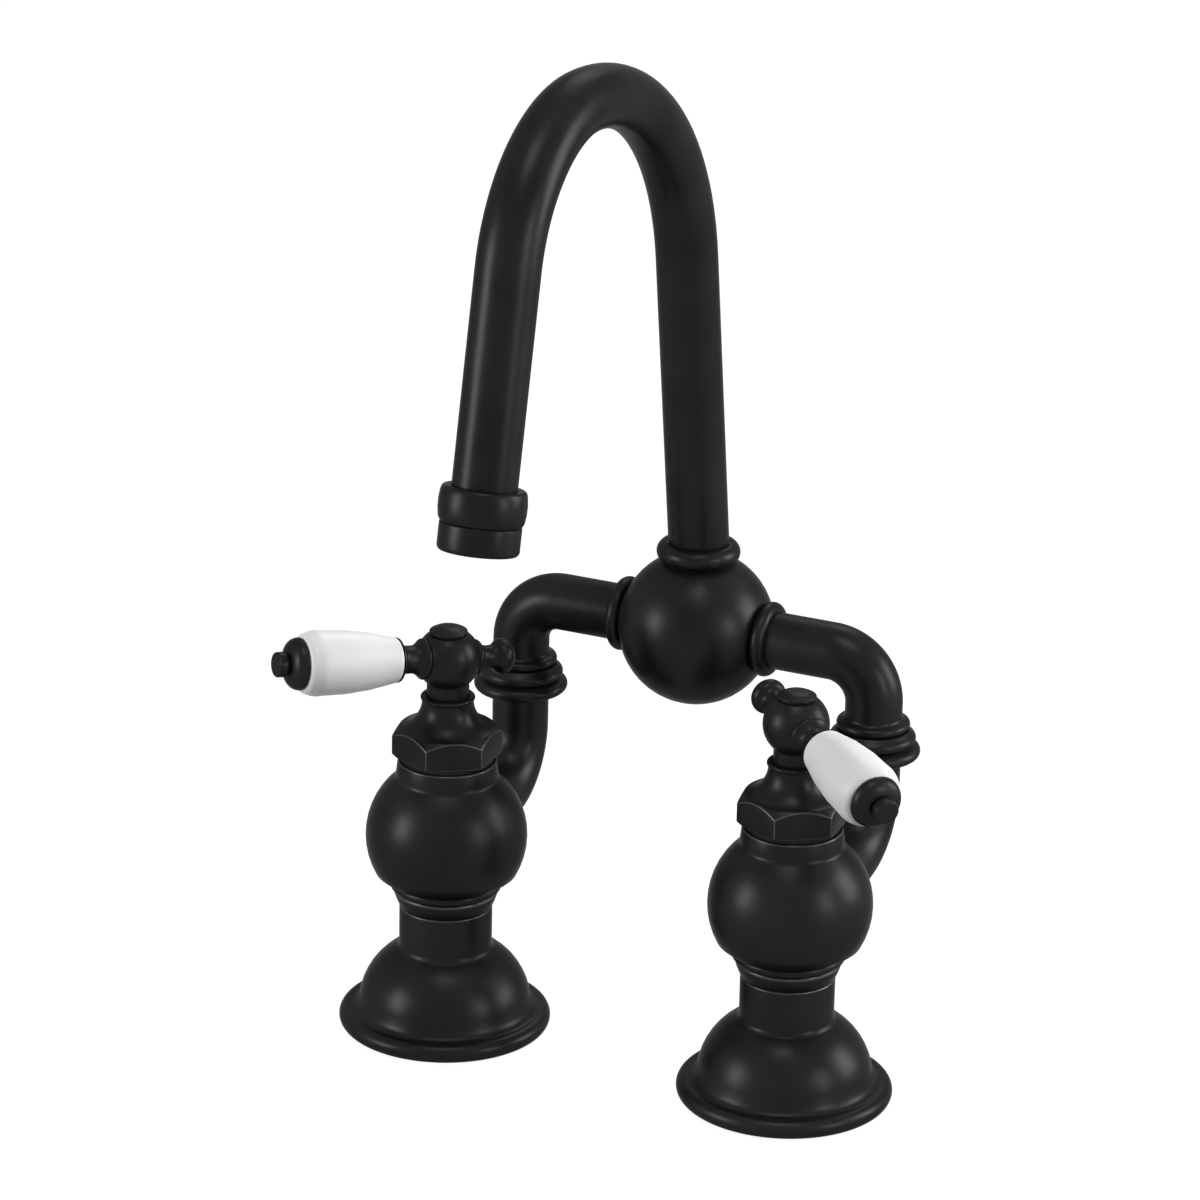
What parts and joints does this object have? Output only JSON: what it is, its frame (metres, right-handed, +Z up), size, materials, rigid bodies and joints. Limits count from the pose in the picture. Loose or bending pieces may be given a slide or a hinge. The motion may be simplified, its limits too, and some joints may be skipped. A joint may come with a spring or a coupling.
{
  "type": "bridge bathroom faucet",
  "caption": "Deck-mounted bridge faucet: round pillar valves with lever handles, a raised bridge with a ball joint, and a tall arched swivel spout.",
  "frame": {"origin": "on the deck surface, midway between the two inlet centres", "axes": "+Z up from the deck, +X from the left pillar to the right pillar as a user sees it, and the spout reaches forward along -Y"},
  "size_m": [0.1765, 0.1678, 0.2837],
  "materials": {
    "black_metal": "satin dark metal, nearly black",
    "porcelain": "glossy white glazed porcelain",
    "brass": "machined brass, hidden",
    "steel": "plain stainless steel, hidden",
    "ceramic": "lapped ceramic, hidden",
    "rubber": "black rubber",
    "bush_plastic": "pale acetal"
  },
  "bodies": {
    "bridge_body": {"left_base_flange": "black_metal", "left_deck_gasket": "rubber", "left_inlet_shank": "brass", "left_valve_body": "black_metal", "left_cartridge_body": "brass", "left_cartridge_seal": "rubber", "left_fixed_disc": "ceramic", "left_bonnet_nut": "black_metal", "left_lower_elbow": "black_metal", "left_union_nut": "black_metal", "left_union_washer": "rubber", "left_upper_elbow": "black_metal", "left_arm_collar": "black_metal", "right_base_flange": "black_metal", "right_deck_gasket": "rubber", "right_inlet_shank": "brass", "right_valve_body": "black_metal", "right_cartridge_body": "brass", "right_cartridge_seal": "rubber", "right_fixed_disc": "ceramic", "right_bonnet_nut": "black_metal", "right_lower_elbow": "black_metal", "right_union_nut": "black_metal", "right_union_washer": "rubber", "right_upper_elbow": "black_metal", "right_arm_collar": "black_metal", "mixing_ball": "black_metal", "spout_collar": "black_metal", "spout_bush": "bush_plastic"},
    "left_handle": {"left_turning_disc": "ceramic", "left_cartridge_stem": "brass", "left_stem_o_ring": "rubber", "left_handle_hub": "black_metal", "left_handle_cap": "black_metal", "left_handle_screw": "steel", "left_lever_rod": "steel", "left_lever_collar": "black_metal", "left_lever_grip": "porcelain", "left_grip_end_cap": "black_metal", "left_tail_knob": "black_metal"},
    "right_handle": {"right_turning_disc": "ceramic", "right_cartridge_stem": "brass", "right_stem_o_ring": "rubber", "right_handle_hub": "black_metal", "right_handle_cap": "black_metal", "right_handle_screw": "steel", "right_lever_rod": "steel", "right_lever_collar": "black_metal", "right_lever_grip": "porcelain", "right_grip_end_cap": "black_metal", "right_tail_knob": "black_metal"},
    "spout": {"spout_tube": "black_metal", "spout_o_rings": "rubber", "spout_retaining_ring": "steel", "outlet_collar": "black_metal", "aerator_housing": "black_metal", "aerator_insert": "bush_plastic", "aerator_washer": "rubber"}
  },
  "joints": [
    {"name": "left_handle_turn", "type": "hinge", "parent": "bridge_body", "child": "left_handle", "pos_m": [-0.0508, 0, 0.1071], "axis": [0, 0, 1], "range_deg": [0, 90]},
    {"name": "right_handle_turn", "type": "hinge", "parent": "bridge_body", "child": "right_handle", "pos_m": [0.0508, 0, 0.1071], "axis": [0, 0, 1], "range_deg": [-90, 0]},
    {"name": "spout_swivel", "type": "hinge", "parent": "bridge_body", "child": "spout", "pos_m": [0, 0.0496, 0.1334], "axis": [0, 0, 1], "continuous": true}
  ]
}
